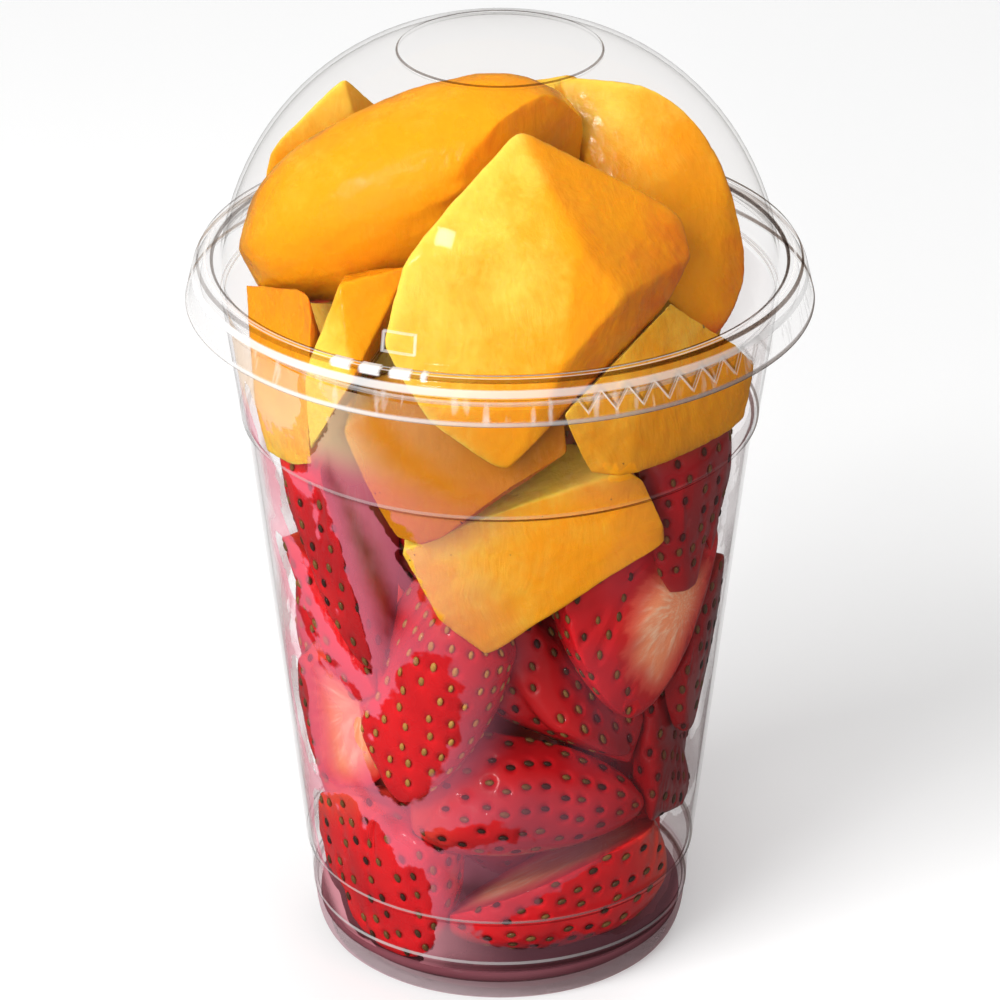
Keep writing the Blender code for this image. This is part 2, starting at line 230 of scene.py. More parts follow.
def lid_painted_marks(m, around, radius, z):
    """Painted reflections on the lid: light and dark lines along the notched flutes at the right of the skirt,
    painted glints at its left, painted light streaks on the skirt and a painted light outline of the tab on
    the dome.
    """
    degrees = around * (180.0 / math.pi)
    notch = m.math("PINGPONG", degrees / 2.6, 1.0)
    span = m.smooth(degrees, 13.0, 16.0) * m.smooth(degrees, 62.0, 52.0)
    edge = z - notch * 3.2 - 117.6
    on_skirt = m.smooth(radius, 49.2, 49.5) * span
    painted_light = m.smooth(m.math("ABSOLUTE", edge), 0.32, 0.12) * on_skirt * 0.30
    painted_dark = m.smooth(m.math("ABSOLUTE", edge - 0.6), 0.6, 0.2) * on_skirt * 0.32
    step = m.math("PINGPONG", (degrees + 33.5) / 3.0, 1.0)
    slots = m.smooth(step, 0.25, 0.45) * m.smooth(degrees, -34.0, -33.0) * m.smooth(degrees, -13.0, -14.0)
    glint = slots * line_mask(m, radius, 48.0, 1.1) * m.smooth(z, 122.0, 122.3) * 0.7
    # Painted reflections: light streaks down the outside of the skirt.
    painted_streaks = m.smooth(m.noise(m.stretched(m.place(), (700.0, 700.0, 60.0)), 1.0, 1.0), 0.6, 0.75)
    painted_streaks = painted_streaks * m.smooth(radius, 49.4, 49.8) * 0.22
    across = m.math("ABSOLUTE", degrees + 20.5)
    rise = m.math("ABSOLUTE", z - 126.2)
    frame_line = m.math("MAXIMUM", across / 3.4, rise / 1.55)
    painted_tab_outline = line_mask(m, frame_line, 1.0, 0.08) * m.smooth(radius, 43.5, 43.8)
    painted_light = m.math("MAXIMUM", m.math("MAXIMUM", painted_light, glint), m.math("MAXIMUM", painted_tab_outline * 0.28, painted_streaks))
    return painted_dark, painted_light


def wall_places(m):
    """The angle round the tumbler from the middle of its front, in radians, and the height in millimetres."""
    x, y, z = m.axes(m.place())
    around = m.math("ARCTAN2", x, y * -1.0)
    return around, z / MM


# Fruit nearer to the wall than this, in millimetres, presses the mist clear.
CLEAR_GAP = 1.1
# Further from fruit than this the wall is dry.
DRY_GAP = 7.5


def misted_plastic():
    """The inside of the tumbler: a milky pink film of juice, open where fruit presses it clear. The film's
    colour is painted shade: light at the left, darker towards the right and at the foot. Dark lines are
    painted where the wall bends, stronger at the right.
    """
    m = Finish("misted_inside")
    around, up = wall_places(m)
    wobble = m.noise(m.place(), 330.0, 2.0)
    cloud = m.noise(m.place(), 38.0, 3.0)
    gap = m.attribute("gap") + (wobble - 0.5) * 1.6
    window = m.smooth(gap, CLEAR_GAP + 0.25, CLEAR_GAP)
    damp = m.smooth(gap, DRY_GAP, 2.0)
    across = m.math("SINE", around)
    side = m.smooth(across, -0.68, 0.15)
    foot = m.smooth(up, 17.0, 13.0)
    low = m.smooth(up, 62.0, 36.0)
    thick = 0.42 - side * (0.20 - low * 0.12) - m.smooth(up, 90.0, 118.0) * 0.08 + foot * (0.36 - side * 0.18)
    mist = (thick + (cloud - 0.5) * 0.22) * (1.0 - window) * damp
    # Painted shade: the film's pink is light at the left and dark at the right, darkest at the far right.
    pink_with_painted_shade = m.mix(side, (1.0, 0.25, 0.37), (0.33, 0.105, 0.15))
    pink_with_painted_shade = m.mix(m.smooth(across, 0.34, 0.72), pink_with_painted_shade, (0.26, 0.03, 0.035))
    # Painted shade at the foot: light at the left and dark at the right.
    pink_with_painted_shade = m.mix(foot, pink_with_painted_shade, m.mix(side, (0.78, 0.33, 0.38), (0.13, 0.05, 0.065)))
    mist = mist + m.smooth(across, -0.34, -0.68) * m.smooth(up, 96.0, 104.0) * damp * 0.16
    # Painted shade: the peach film beside the mango is light at the left and dark at the right.
    peach_with_painted_shade = m.mix(m.smooth(across, -0.68, 0.0), (1.0, 0.72, 0.45), (0.22, 0.09, 0.03))
    film = m.shader("BsdfPrincipled", Roughness=1.0, Specular_IOR_Level=0.0, Base_Color=m.mix(m.smooth(up, 98.0, 106.0), pink_with_painted_shade, peach_with_painted_shade))
    painted_lines = None
    # Painted dark lines where the wall bends, standing for refractions and shade, stronger at the right.
    for height, half, left, right in ((95.4, 0.28, 0.25, 0.85), (16.1, 0.35, 0.25, 0.6), (7.6, 0.5, 0.3, 0.7)):
        painted_line = line_mask(m, up, height, half) * (side * (right - left) + left)
        painted_lines = painted_line if painted_lines is None else m.math("MAXIMUM", painted_lines, painted_line)
    through = m.blend(painted_lines, m.shader("BsdfTransparent", Color=(0.97, 0.955, 0.955)),
                      m.shader("BsdfTransparent", Color=(0.18, 0.07, 0.06)))
    gloss = m.shader("BsdfGlossy", Color=(1.0, 1.0, 1.0), Roughness=0.05)
    body = m.blend(mist, through, film)
    return m.done(m.blend(grazing(m, 5.0) * 0.03 + 0.004, body, gloss))


def juice_look():
    m = Finish("strawberry_juice")
    cloud = m.noise(m.place(), 60.0, 2.0)
    colour = m.mix(cloud, (0.28, 0.09, 0.115), (0.42, 0.18, 0.21))
    body = m.shader("BsdfPrincipled", Base_Color=colour, Roughness=0.06, IOR=1.34)
    through = m.shader("BsdfTransparent", Color=(0.74, 0.42, 0.47))
    return m.done(m.blend(0.55, through, body))


PALE_MANGO = (1.0, 0.62, 0.085)
RIPE_MANGO = (0.96, 0.34, 0.006)
RED_MANGO = (0.80, 0.14, 0.01)


def mango_look():
    """Wet mango: pale to deep orange by the ripeness attribute, which also carries painted shade, with fibres
    that run up and round.
    """
    m = Finish("mango_flesh")
    place = m.place()
    warp = m.noise(place, 55.0, 2.0, out="Color")
    bent = m.node("Mix", {"data_type": "VECTOR"}, {0: 0.012, 4: place, 5: warp}, out=1)
    fibres = m.noise(m.stretched(bent, (900.0, 900.0, 130.0), (0.5, 0.35, 0.0)), 1.0, 3.0, 0.6)
    clouds = m.noise(place, 120.0, 4.0, 0.6)
    grain = m.noise(place, 1500.0, 2.0)
    ripe = m.attribute("ripe") + (clouds - 0.5) * 0.7 + (fibres - 0.5) * 0.28
    pale = m.mix(m.smooth(ripe, 0.0, 0.62), PALE_MANGO, RIPE_MANGO)
    colour = m.mix(m.smooth(ripe, 0.75, 1.35), pale, RED_MANGO)
    # Painted shade: whole pieces are painted darker by this attribute.
    colour = m.mix(m.attribute("tone"), (0.20, 0.05, 0.002), colour)
    relief = m.bump(fibres, 0.30, 0.0004)
    normal = m.bump(grain, 0.12, 0.00012, relief)
    wet = m.smooth(m.noise(place, 210.0, 3.0), 0.42, 0.62)
    body = m.shader("BsdfPrincipled", Base_Color=colour, Roughness=0.32 - wet * 0.14, Normal=normal,
                    Subsurface_Weight=0.35, Subsurface_Radius=(0.0045, 0.0018, 0.0005),
                    Subsurface_Scale=1.0, Coat_Weight=wet * 0.5, Coat_Roughness=0.08, IOR=1.4)
    return m.done(body)


def berry_skin_look():
    m = Finish("strawberry_skin")
    place = m.place()
    clouds = m.noise(place, 90.0, 3.0)
    pit = m.attribute("pit")
    red = m.mix(m.smooth(clouds, 0.3, 0.75), (0.74, 0.010, 0.014), (0.50, 0.005, 0.010))
    # Painted shade: the skin is painted darker down in the seed pits.
    colour = m.mix(m.smooth(pit, 0.1, 1.0) * 0.75, red, (0.24, 0.004, 0.01))
    shoulder = m.attribute("shoulder")
    colour = m.mix(m.smooth(shoulder, 0.75, 1.1) * 0.6, colour, (0.85, 0.12, 0.05))
    # Painted shade: whole berries, or their shaded sides, are painted darker by this attribute.
    colour = m.mix(m.attribute("tone"), (0.10, 0.002, 0.003), colour)
    wet = m.attribute("wet") * m.smooth(m.noise(place, 300.0, 1.0), 0.45, 0.6)
    fine = m.bump(m.noise(place, 1300.0, 2.0), 0.12, 0.0001)
    body = m.shader("BsdfPrincipled", Base_Color=colour, Roughness=0.32 - wet * 0.16, Normal=fine,
                    Coat_Weight=0.7, Coat_Roughness=0.08, IOR=1.38)
    return m.done(body)


def berry_flesh_look():
    """Cut strawberry: a red rim, then peach flesh with pale streaks that run out from the middle."""
    m = Finish("strawberry_flesh")
    rim = m.attribute("rim") / MM
    spokes = m.noise(m.attribute("spoke", out="Vector"), 1.0, 3.0, 0.6)
    fine = m.noise(m.place(), 700.0, 3.0)
    depth = rim + (spokes - 0.5) * 4.0 + (fine - 0.5) * 0.8
    inner = m.mix(m.smooth(spokes, 0.42, 0.75), (1.0, 0.34, 0.16), (1.0, 0.60, 0.38))
    middle = m.mix(m.smooth(rim, 1.6, 6.0), (0.72, 0.08, 0.05), inner)
    colour = m.mix(m.smooth(depth, 0.3, 2.2), (0.55, 0.012, 0.012), middle)
    # Painted shade: the cut face is darkened in the same way as the skin.
    colour = m.mix(m.attribute("tone"), (0.12, 0.012, 0.02), colour)
    normal = m.bump(spokes, 0.3, 0.0004)
    body = m.shader("BsdfPrincipled", Base_Color=colour, Roughness=0.32, Normal=normal,
                    Coat_Weight=0.3, Coat_Roughness=0.1, IOR=1.38)
    return m.done(body)


def seed_look():
    m = Finish("seeds")
    gold = m.attribute("gold")
    colour = m.mix(gold, (0.03, 0.012, 0.008), (0.56, 0.29, 0.06))
    body = m.shader("BsdfPrincipled", Base_Color=colour, Roughness=0.3, Coat_Weight=0.4,
                    Coat_Roughness=0.1)
    return m.done(body)


# ---------------------------------------------------------------- building pieces


def piece(name, mesh, slot, replaced, *looks):
    """Makes an object of a finished mesh that rides with the cup."""
    made = bpy.data.objects.new(name, mesh)
    bpy.context.scene.collection.objects.link(made)
    for look in looks:
        mesh.materials.append(look)
    if slot.startswith("clear"):
        made.visible_shadow = False
        made.visible_diffuse = False
    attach(made, "root")
    if replaced:
        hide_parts(*replaced)
    return made


def mesh_of(name, shape):
    mesh = bpy.data.meshes.new(name)
    shape.to_mesh(mesh)
    shape.free()
    mesh.shade_smooth()
    return mesh


def turned(outline, steps):
    """A closed solid spun from an outline in millimetres that starts and ends on the axis."""
    shape = bmesh.new()
    verts = [shape.verts.new((radius * MM, 0.0, height * MM)) for radius, height in outline]
    edges = [shape.edges.new(pair) for pair in zip(verts[:-1], verts[1:])]
    bmesh.ops.spin(shape, geom=verts + edges, cent=(0, 0, 0), axis=(0, 0, 1), angle=math.tau,
                   steps=steps, use_merge=True)
    bmesh.ops.remove_doubles(shape, verts=shape.verts, dist=1e-6)
    bmesh.ops.recalc_face_normals(shape, faces=shape.faces)
    return shape


def arc(centre, radius, start, end, steps):
    points = []
    for k in range(steps + 1):
        angle = math.radians(start + (end - start) * k / steps)
        points.append((centre[0] + radius * math.cos(angle), centre[1] + radius * math.sin(angle)))
    return points


# ---------------------------------------------------------------- the tumbler, its lid and the juice

CUP_WALL = 0.6
CUP_PROFILE = [(31.6, 7.0), (31.9, 7.6), (32.4, 15.7), (32.9, 16.3), (41.5, 94.9), (42.4, 95.8),
               (45.0, 116.0)]


def wall_radius(height):
    """The tumbler's inner radius at a height, in millimetres."""
    points = [(r - CUP_WALL, z) for r, z in CUP_PROFILE]
    if height <= points[0][1]:
        return points[0][0]
    for (r0, z0), (r1, z1) in zip(points[:-1], points[1:]):
        if height <= z1:
            return r0 + (r1 - r0) * (height - z0) / (z1 - z0)
    return points[-1][0]


# Painted lines round the tumbler and the lid. The dark ones paint shade and dark refractions, and the light ones
# paint highlights and reflections where the plastic bends. The broad dark band low on the tumbler is painted
# shade over its foot, darker at the right.
CUP_PAINTED_DARK_LINES = [(None, 95.7, 0.2, 0.1, 0.8), (None, 15.9, 0.3, 0.1, 0.6), (None, 7.2, 0.4, 0.2, 0.7),
            (None, 2.5, 4.6, 0.05, 0.3)]
CUP_PAINTED_LIGHT_LINES = [(None, 96.4, 0.3, 0.30, 0.05), (None, 16.7, 0.25, 0.4, 0.05), (None, 8.2, 0.3, 0.5, 0.18),
             (None, 117.2, 0.25, 0.4, 0.3)]
LID_PAINTED_DARK_LINES = [(16.4, 158.6, 0.16, 0.75, 0.75), (48.9, 123.2, 0.22, 0.40, 0.90), (46.6, 123.0, 0.25, 0.5, 0.8),
            (51.0, 116.4, 0.2, 0.2, 0.8)]
LID_PAINTED_LIGHT_LINES = [(49.8, 121.3, 0.25, 0.60, 0.40), (47.7, 123.4, 0.2, 0.4, 0.3), (51.0, 116.9, 0.2, 0.6, 0.2)]


def wall_limits(places):
    """The tumbler's inner radius at the height of each place, in metres."""
    radii, heights = np.array(CUP_PROFILE).T
    return (np.interp(places[:, 2] / MM, heights, radii) - CUP_WALL) * MM


def wall_rows():
    """The inner wall from the top down, in rows close enough together to carry the mist."""
    heights = {z for _, z in CUP_PROFILE} | set(np.arange(9.0, 115.0, 1.2))
    return [(wall_radius(z), z) for z in sorted(heights, reverse=True)]


def kept_inside(places):
    """Fruit that would reach into the wall is pressed flat just inside it."""
    reach = np.linalg.norm(places[:, :2], axis=1).clip(1e-9)
    pressed = np.minimum(1.0, (wall_limits(places) - 0.1 * MM) / reach)
    return places * np.stack([pressed, pressed, np.ones(len(places))], axis=1)


def fitted(mesh, node):
    """Stretches a mesh so that its box is the CAD node's box."""
    places, _ = vertex_arrays(mesh)
    low, high = (np.array(corner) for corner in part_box(node))
    set_places(mesh, (places - places.min(0)) * (high - low) / np.ptp(places, axis=0) + low)
    return mesh


def gaps_to_fruit(mesh):
    """How far each of the tumbler's points is from the nearest fruit, in millimetres."""
    fruit = [made.data for made in bpy.context.scene.objects if made.name.endswith("_fruit")]
    points = np.concatenate([vertex_arrays(data)[0] for data in fruit])
    points = points[np.linalg.norm(points[:, :2], axis=1) > wall_limits(points) - 4 * MM]
    tree = KDTree(len(points))
    for k, point in enumerate(points):
        tree.insert(point, k)
    tree.balance()
    return [tree.find(vertex.co)[2] / MM for vertex in mesh.vertices]


def make_cup():
    heel = [(29.2 + 2.4 * math.sin(a), 7.0 * (1 - math.cos(a)))
            for a in np.linspace(0, math.pi / 2, 9)]
    outer = ([(0, 1.2), (24.8, 1.2), (25.6, 0.9), (26.4, 0), (29.2, 0)] + heel[1:]
             + CUP_PROFILE[1:] + arc((46.6, 119.6), 1.85, -130, 90, 14))
    inner = [(45.0, 121.0), (44.8, 120.0)] + wall_rows()
    floor = [(30.2, 4.2), (28.6, 2.6), (26.4, 1.9), (24.5, 1.75), (0, 1.75)]
    shape = turned(outer + inner + floor, 192)
    for face in shape.faces:
        middle = face.calc_center_median()
        inward = face.normal.x * middle.x + face.normal.y * middle.y < 0
        face.material_index = int(inward and 3 * MM < middle.z < 117 * MM)
    mesh = fitted(mesh_of("cup_clear", shape), "cup")
    store(mesh, "gap", gaps_to_fruit(mesh))
    piece("cup_clear", mesh, "clear_cup", ["cup"],
          clear_plastic("clear_tumbler", (0.994, 0.992, 0.992), (0.68, 0.67, 0.67), CUP_PAINTED_DARK_LINES, CUP_PAINTED_LIGHT_LINES,
                        foot=(0.86, 0.73, 0.76)),
          misted_plastic())


def dome_points(shrink, steps):
    points = []
    for k in range(steps + 1):
        height = 122.8 + (158.0 - 122.8) * math.sin(0.5 * math.pi * k / steps)
        reach = lambda z: (1 - ((z - 112.0) / 49.2) ** 2.2) ** (1 / 2.2)
        radius = 45.4 * reach(height) / reach(122.8)
        points.append((radius - shrink, height - shrink * (height - 122.8) / 35.2))
    return points


def make_lid():
    wall = 0.5
    top = [(0, 158.8), (15.6, 158.8), (16.1, 158.65), (16.5, 158.3)]
    flange = [(45.7, 122.8), (46.5, 122.8), (46.8, 123.1), (47.1, 123.4), (48.4, 123.4), (48.8, 123.25),
              (49.4, 122.2), (49.8, 121.2), (50.4, 118.7), (50.9, 116.5), (51.0, 116.2)]
    under = [(r - wall, z - (0.0 if z < 122 else wall)) for r, z in flange[::-1]]
    shape = turned(top + dome_points(0, 24)[::-1] + flange + under + dome_points(wall, 24)
                   + [(16.0, 157.9), (15.2, 158.35), (0, 158.35)], 234)
    piece("lid_clear", fitted(mesh_of("lid_clear", shape), "dome_lid"), "clear_lid", ["dome_lid"],
          clear_plastic("clear_dome", (0.992, 0.988, 0.985), (0.62, 0.61, 0.60), LID_PAINTED_DARK_LINES, LID_PAINTED_LIGHT_LINES,
                        lid_painted_marks))


def make_juice():
    outline = [(0, 4.8), (28.6, 4.8), (29.8, 5.3), (30.6, 5.8), (30.75, 4.3), (28.7, 2.5), (26.4, 1.8),
               (24.5, 1.65), (0, 1.65)]
    piece("juice_pool", mesh_of("juice_pool", turned(outline, 128)), "juice", ["juice"], juice_look())


# ---------------------------------------------------------------- the fruit


def cad_shape(name):
    """A CAD node's mesh with its loose triangles joined and each flat face whole."""
    shape = bmesh.new()
    shape.from_mesh(frame["nodes"][name].data)
    bmesh.ops.remove_doubles(shape, verts=shape.verts, dist=1e-5)
    bmesh.ops.dissolve_limit(shape, angle_limit=math.radians(1.5), verts=shape.verts, edges=shape.edges)
    return shape


def subdivided(name, shape, levels, *looks):
    """The shape as a smooth fine mesh that keeps its creases."""
    mesh = bpy.data.meshes.new(name)
    shape.to_mesh(mesh)
    shape.free()
    rough = bpy.data.objects.new(name + "_rough", mesh)
    bpy.context.scene.collection.objects.link(rough)
    for look in looks:
        mesh.materials.append(look)
    modifier = rough.modifiers.new("smooth", "SUBSURF")
    modifier.levels = levels
    modifier.render_levels = levels
    fine = bpy.data.meshes.new_from_object(rough.evaluated_get(bpy.context.evaluated_depsgraph_get()))
    bpy.data.objects.remove(rough)
    bpy.data.meshes.remove(mesh)
    low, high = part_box(name)
    places, _ = vertex_arrays(fine)
    spread = (np.array(high) - np.array(low)) / np.ptp(places, axis=0)
    set_places(fine, (places - places.min(0)) * spread + np.array(low))
    fine.name = name
    fine.shade_smooth()
    return fine


def vertex_arrays(mesh):
    count = len(mesh.vertices)
    places = np.empty(count * 3, np.float32)
    normals = np.empty(count * 3, np.float32)
    mesh.vertices.foreach_get("co", places)
    mesh.vertex_normals.foreach_get("vector", normals)
    return places.reshape(-1, 3).astype(float), normals.reshape(-1, 3).astype(float)


def set_places(mesh, places):
    mesh.vertices.foreach_set("co", places.astype(np.float32).ravel())
    mesh.update()


def store(mesh, name, values):
    layer = mesh.attributes.new(name, "FLOAT", "POINT")
    layer.data.foreach_set("value", np.asarray(values, np.float32))


def lumps(places, size, seed):
    """Smooth noise from about -1 to 1 at each place, with lumps of a size."""
    shift = Vector((seed * 3.1, seed * 1.7, seed * 2.3))
    return np.array([noise.noise(Vector(p) / size + shift) for p in places])


def levels_for(shape, target):
    """Subdivision levels that give about the target number of faces."""
    corners = sum(len(f.verts) for f in shape.faces)
    return max(2, round(math.log(target / corners, 4)) + 1)


# Each mango's ripeness, which also carries painted shade: its middle value, how it grows along a direction
# across the piece, and how it grows on faces that look in a direction. This last is painted shade, set by
# the way a face looks.
MANGO = {
    "mango_01_kite": (0.38, (0.25, 0, -0.15), (0.55, -0.1, 0.0)),
    "mango_02_cheek": (0.70, (0.05, 0.0, 0.05), (0.1, -0.05, -0.15)),
    "mango_03_right_top": (0.72, (0.1, 0, -0.3), (0.1, -0.2, -0.55)),
    "mango_04_peak": (0.5, (0.0, 0, -0.3), (0.1, 0.1, -0.1)),
    "mango_05_block": (0.75, (0.2, 0, -0.1), (0.1, -0.1, -0.3)),
    "mango_06_column": (0.4, (0.35, 0, 0.3), (0.3, 0, 0.1)),
    "mango_07_left": (0.65, (0.0, 0, 0.3), (0.1, 0, 0.5)),
    "mango_08_low_block": (0.36, (0.2, 0, -0.1), (0.1, -0.1, -0.3)),
    "mango_09_right": (0.40, (0.1, 0, -0.1), (0.1, -0.1, -0.2)),
}
ROUND_MANGO = ("mango_02_cheek", "mango_03_right_top", "mango_13_back_top")
# Painted shade: how light some mango pieces are painted, for the shade that falls on them.
MANGO_PAINTED_SHADE = {"mango_05_block": 0.45, "mango_03_right_top": 0.93}
USUAL_MANGO = (0.5, (0.2, 0.1, -0.2), (0.1, 0.1, -0.2))


LOOSE_SEEDS = {"mango_05_block": 4, "mango_08_low_block": 6, "mango_09_right": 3, "mango_10_back": 4,
               "mango_12_back": 4}


def make_mango(name, look, seeds, seed):
    shape = cad_shape(name)
    crease = shape.edges.layers.float.new("crease_edge")
    soft, hard = (34, 50) if name in ROUND_MANGO else (14, 30)
    for edge in shape.edges:
        bend = math.degrees(edge.calc_face_angle(0.0))
        edge[crease] = 0.0 if bend < soft else 0.5 if bend < hard else 0.92
    front = name in MANGO
    mesh = subdivided(name, shape, levels_for(shape, 22000 if front else 5000), look)
    places, normals = vertex_arrays(mesh)
    place_in_noise = int(name[6:8])
    dents = (0.28 * (0.5 + 0.5 * lumps(places, 7 * MM, place_in_noise)) + 0.10 * lumps(places, 2.2 * MM, place_in_noise + 20)
             + 0.05 * lumps(places, 0.8 * MM, place_in_noise + 40))
    set_places(mesh, kept_inside(places - normals * dents[:, None].clip(0.0) * MM))
    middle, along, facing = MANGO.get(name, USUAL_MANGO)
    centre = (places.max(0) + places.min(0)) / 2
    half = (places.max(0) - places.min(0)).max() / 2
    # Painted shade: the facing term paints faces that look one way a deeper orange.
    ripe = middle + (places - centre) @ np.array(along) / half + normals @ np.array(facing)
    store(mesh, "ripe", ripe)
    store(mesh, "tone", np.full(len(places), MANGO_PAINTED_SHADE.get(name, 1.0)))
    outward = [k for k, (place, normal) in enumerate(zip(places, normals))
               if normal[:2] @ place[:2] > 0.8 * np.linalg.norm(place[:2])]
    chosen = DICE.sample(outward, min(len(outward), LOOSE_SEEDS.get(name, 0)))
    finished, _ = vertex_arrays(mesh)
    spots = [(Vector(finished[k]), Vector(normals[k])) for k in chosen]
    add_seeds(seeds, seed, spots, Vector((0.6, 0.1, -0.8)).normalized(), 0.0, big=0.5)
    piece(name + "_fruit", mesh, "mango", [name])


# Each strawberry: the way its tip points, the way its cut face looks, and how golden its seeds are.
BERRIES = {
    "strawberry_01": ((6, -11, -39), (0.84, -0.48, 0.25), 0.1),
    "strawberry_02": ((-8, -7, -38), (0.3, 1, 0), 0.7),
    "strawberry_03": ((-1, -12, -32), (0.45, -0.85, 0.1), 0.15),
    "strawberry_04": ((38, 2, -5), (0, 1, 0.3), 0.05),
    "strawberry_05": ((9, -9, -29), (0.2, 1, 0), 0.1),
    "strawberry_06": ((-35, -13, -11), (-0.3, 0.3, 1), 0.1),
    "strawberry_07": ((11, -13, -26), (-0.4, 0.6, -0.6), 0.2),
    "strawberry_08": ((-1, 4, -26), (-0.3, -0.6, -0.7), 0.2),
    "strawberry_09": ((4, -6, -29), (-0.3, 1, 0), 0.1),
    "strawberry_10": ((14, -8, -36), (0, 1, 0), 0.1),
    "strawberry_11": ((0, -10, -28), (-1, 0.3, 0), 0.05),
    "strawberry_12": ((-5, -14, -28), (-1, 0.3, 0), 0.05),
    "strawberry_13": ((14, 18, -24), (0.6, -0.4, 0.4), 0.3),
    "strawberry_14": ((-18, 14, -26), (-0.5, -0.6, 0.4), 0.3),
    "strawberry_15": ((4, 6, -30), None, 0.2),
    "strawberry_16": ((-2, -6, -28), (0.9, -0.4, 0), 0.4),
    "strawberry_17": ((6, 2, 30), (0, -1, 0), 0.5),
    "strawberry_18": ((-4, 2, -30), (-0.6, -0.7, 0), 0.3),
    "strawberry_19": ((4, 2, -30), None, 0.2),
    "strawberry_20": ((5, 6, -29), (0.7, -0.7, 0), 0.4),
    "strawberry_21": ((-4, -4, -30), (0.1, 1, 0.2), 0.3),
    "strawberry_22": ((-4, 2, 28), (-0.5, -0.8, 0), 0.5),
    "strawberry_23": ((6, -2, -32), None, 0.2),
    "strawberry_24": ((2, 4, -32), None, 0.2),
    "strawberry_25": ((4, 0, -30), None, 0.2),
    "strawberry_26": ((1, 3, -26), None, 0.2),
}
# A cut face that the wall presses flat: its middle on the piece's box (across, up) and half sizes in mm.
PRESSED_FLESH = {"strawberry_03": ((0.74, 0.42), (9.5, 12.5))}
# Painted shade: how light each of the darker berries is painted, for the shade it sits in.
BERRY_PAINTED_SHADE = {"strawberry_10": 0.5, "strawberry_09": 0.6, "strawberry_11": 0.4, "strawberry_12": 0.35,
         "strawberry_04": 0.72, "strawberry_01": 1.3}
WET = {"strawberry_02": 0.8, "strawberry_05": 1.0, "strawberry_07": 0.8, "strawberry_01": 0.4}
# A flat face that is skin on one side of a slanted line: how much across and up count, and where it starts.
FLESH_BESIDE = {"strawberry_01": (1.0, 0.79, 0.94)}
# Berries painted darker towards the right: painted shade.
SHADED_TOWARD_RIGHT = ("strawberry_01",)
FRONT_BERRIES = 12
SEED_SPACING = 3.7 * MM
PIT_RADIUS = 1.45 * MM
PIT_DEPTH = 0.50 * MM


def seed_places(mesh, places, tip, skin_faces):
    """Staggered rows of points on the skin, each with the outward direction."""
    tree = BVHTree.FromPolygons([tuple(p) for p in places], [tuple(f.vertices) for f in mesh.polygons])
    centre = Vector((places.max(0) + places.min(0)) / 2)
    side = tip.orthogonal().normalized()
    other = tip.cross(side)
    reach = (places - np.array(centre)) @ np.array(tip)
    found = []
    rows = int((reach.max() - reach.min()) / (SEED_SPACING * 0.86))
    for row in range(1, rows + 1):
        level = reach.min() + (row - 0.4) * (reach.max() - reach.min()) / rows
        near = np.abs(reach - level) < 1.5 * MM
        if not near.any():
            continue
        axis_point = centre + tip * level
        wide = np.linalg.norm(places[near] - np.array(axis_point), axis=1).max()
        count = max(3, round(math.tau * wide / SEED_SPACING))
        for k in range(count):
            turn = math.tau * (k + 0.5 * (row % 2) + DICE.uniform(-0.12, 0.12)) / count
            way = side * math.cos(turn) + other * math.sin(turn)
            start = axis_point + tip * DICE.uniform(-0.4, 0.4) * MM + way * 60 * MM
            hit, normal, index, _ = tree.ray_cast(start, -way)
            clear = all((hit - other_hit).length > SEED_SPACING * 0.8 for other_hit, _ in found) if hit else False
            if clear and skin_faces[index] and normal.dot(way) > 0.2:
                found.append((hit, normal))
    return found


def seed_mesh():
    """One seed, a small drop a millimetre across before it is scaled."""
    shape = bmesh.new()
    bmesh.ops.create_uvsphere(shape, u_segments=8, v_segments=5, radius=MM)
    mesh = mesh_of("seed", shape)
    mesh.attributes.new("gold", "FLOAT", "POINT")
    return mesh


def add_seeds(shape, seed, spots, tip, gold, big=1.0):
    for place, normal in spots:
        along = (tip - normal * tip.dot(normal)).normalized()
        across = along.cross(normal)
        size = DICE.uniform(0.85, 1.1) * big
        turn = Matrix((across * 0.5 * size, along * 0.85 * size, normal * 0.34 * big)).transposed().to_4x4()
        one = seed.copy()
        one.transform(Matrix.Translation(place - normal * 0.30 * big * MM) @ turn)
        shade = min(1.0, max(0.0, gold + DICE.uniform(-0.15, 0.2)))
        one.attributes["gold"].data.foreach_set("value", [shade] * len(one.vertices))
        shape.from_mesh(one)
        bpy.data.meshes.remove(one)


